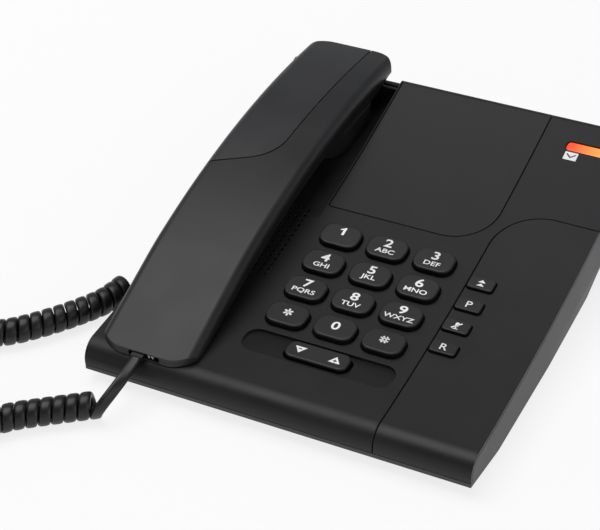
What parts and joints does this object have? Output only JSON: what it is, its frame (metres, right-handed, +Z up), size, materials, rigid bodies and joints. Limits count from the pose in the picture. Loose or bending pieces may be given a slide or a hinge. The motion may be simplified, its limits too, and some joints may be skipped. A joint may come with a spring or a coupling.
{
  "type": "corded telephone",
  "caption": "Corded desk telephone with a handset lying along its left side, a dial keypad, function keys, a volume rocker, a message lamp and a curly cord.",
  "frame": {"origin": "middle of the telephone's footprint, with the handset but without the cord, on the table", "axes": "+Z up, -Y towards the user, +X to the user's right"},
  "size_m": [0.2834, 0.2987, 0.0522],
  "materials": {
    "cover": "satin, fine texture",
    "panels": "satin",
    "case": "satin, fine texture",
    "handset": "satin",
    "inlay": "satin",
    "keys": "satin with white legends",
    "small_keys": "satin with white legends",
    "lens": "tinted, translucent",
    "rubber": "matt",
    "boards": "satin",
    "steel": "plain",
    "fittings": "satin",
    "cord": "satin"
  },
  "bodies": {
    "base": {"base_top_cover": "cover", "index_panel": "panels", "right_panel": "panels", "bottom_case": "case", "rubber_feet": "rubber", "case_screws": "steel", "key_mat": "rubber", "main_circuit_board": "boards", "board_screws": "steel", "ringer_speaker": "fittings", "message_lens": "lens", "message_led_board": "boards", "hook_switch": "fittings", "line_jack": "fittings", "base_cord_jack": "fittings", "base_plug": "fittings", "cord_lead_handset": "cord", "cord_coil": "cord", "cord_lead_base": "cord"},
    "handset": {"handset_back_shell": "handset", "handset_inlay": "inlay", "handset_front_shell": "handset", "receiver_capsule": "fittings", "microphone_capsule": "fittings", "handset_jack": "fittings", "handset_weight": "steel", "handset_screws": "steel", "handset_plug": "fittings"},
    "hook_plunger": {"hook_plunger": "fittings"},
    "volume_rocker": {"volume_rocker": "small_keys"},
    "key_1": {"key_1": "keys"},
    "key_2": {"key_2": "keys"},
    "key_3": {"key_3": "keys"},
    "key_4": {"key_4": "keys"},
    "key_5": {"key_5": "keys"},
    "key_6": {"key_6": "keys"},
    "key_7": {"key_7": "keys"},
    "key_8": {"key_8": "keys"},
    "key_9": {"key_9": "keys"},
    "key_star": {"key_star": "keys"},
    "key_0": {"key_0": "keys"},
    "key_hash": {"key_hash": "keys"},
    "redial_key": {"redial_key": "small_keys"},
    "pause_key": {"pause_key": "small_keys"},
    "mute_key": {"mute_key": "small_keys"},
    "recall_key": {"recall_key": "small_keys"}
  },
  "joints": [
    {"name": "handset_lift", "type": "slide", "parent": "base", "child": "handset", "axis": [0, 0, 1], "range_m": [0, 0.08]},
    {"name": "hook_rise", "type": "slide", "parent": "base", "child": "hook_plunger", "axis": [0, 0, 1], "range_m": [0, 0.004]},
    {"name": "volume_rock", "type": "hinge", "parent": "base", "child": "volume_rocker", "pos_m": [0.0058, -0.07072, 0.01222], "axis": [0, 0.9989, 0.0461], "range_deg": [-4, 4], "stiffness_Nm_per_rad": 0.05},
    {"name": "key_1_press", "type": "slide", "parent": "base", "child": "key_1", "axis": [0, 0.1333, -0.9911], "range_m": [0, 0.0015], "stiffness_N_per_m": 400},
    {"name": "key_2_press", "type": "slide", "parent": "base", "child": "key_2", "axis": [0, 0.1333, -0.9911], "range_m": [0, 0.0015], "stiffness_N_per_m": 400},
    {"name": "key_3_press", "type": "slide", "parent": "base", "child": "key_3", "axis": [0, 0.1333, -0.9911], "range_m": [0, 0.0015], "stiffness_N_per_m": 400},
    {"name": "key_4_press", "type": "slide", "parent": "base", "child": "key_4", "axis": [0, 0.1113, -0.9938], "range_m": [0, 0.0015], "stiffness_N_per_m": 400},
    {"name": "key_5_press", "type": "slide", "parent": "base", "child": "key_5", "axis": [0, 0.1113, -0.9938], "range_m": [0, 0.0015], "stiffness_N_per_m": 400},
    {"name": "key_6_press", "type": "slide", "parent": "base", "child": "key_6", "axis": [0, 0.1113, -0.9938], "range_m": [0, 0.0015], "stiffness_N_per_m": 400},
    {"name": "key_7_press", "type": "slide", "parent": "base", "child": "key_7", "axis": [0, 0.0894, -0.996], "range_m": [0, 0.0015], "stiffness_N_per_m": 400},
    {"name": "key_8_press", "type": "slide", "parent": "base", "child": "key_8", "axis": [0, 0.0894, -0.996], "range_m": [0, 0.0015], "stiffness_N_per_m": 400},
    {"name": "key_9_press", "type": "slide", "parent": "base", "child": "key_9", "axis": [0, 0.0894, -0.996], "range_m": [0, 0.0015], "stiffness_N_per_m": 400},
    {"name": "key_star_press", "type": "slide", "parent": "base", "child": "key_star", "axis": [0, 0.0674, -0.9977], "range_m": [0, 0.0015], "stiffness_N_per_m": 400},
    {"name": "key_0_press", "type": "slide", "parent": "base", "child": "key_0", "axis": [0, 0.0674, -0.9977], "range_m": [0, 0.0015], "stiffness_N_per_m": 400},
    {"name": "key_hash_press", "type": "slide", "parent": "base", "child": "key_hash", "axis": [0, 0.0674, -0.9977], "range_m": [0, 0.0015], "stiffness_N_per_m": 400},
    {"name": "redial_key_press", "type": "slide", "parent": "base", "child": "redial_key", "axis": [0, 0.127, -0.9919], "range_m": [0, 0.001], "stiffness_N_per_m": 400},
    {"name": "pause_key_press", "type": "slide", "parent": "base", "child": "pause_key", "axis": [0, 0.1101, -0.9939], "range_m": [0, 0.001], "stiffness_N_per_m": 400},
    {"name": "mute_key_press", "type": "slide", "parent": "base", "child": "mute_key", "axis": [0, 0.0931, -0.9957], "range_m": [0, 0.001], "stiffness_N_per_m": 400},
    {"name": "recall_key_press", "type": "slide", "parent": "base", "child": "recall_key", "axis": [0, 0.0762, -0.9971], "range_m": [0, 0.001], "stiffness_N_per_m": 400}
  ],
  "couplings": [
    {"joint": "hook_rise", "follows": "handset_lift", "ratio": 0.05}
  ]
}
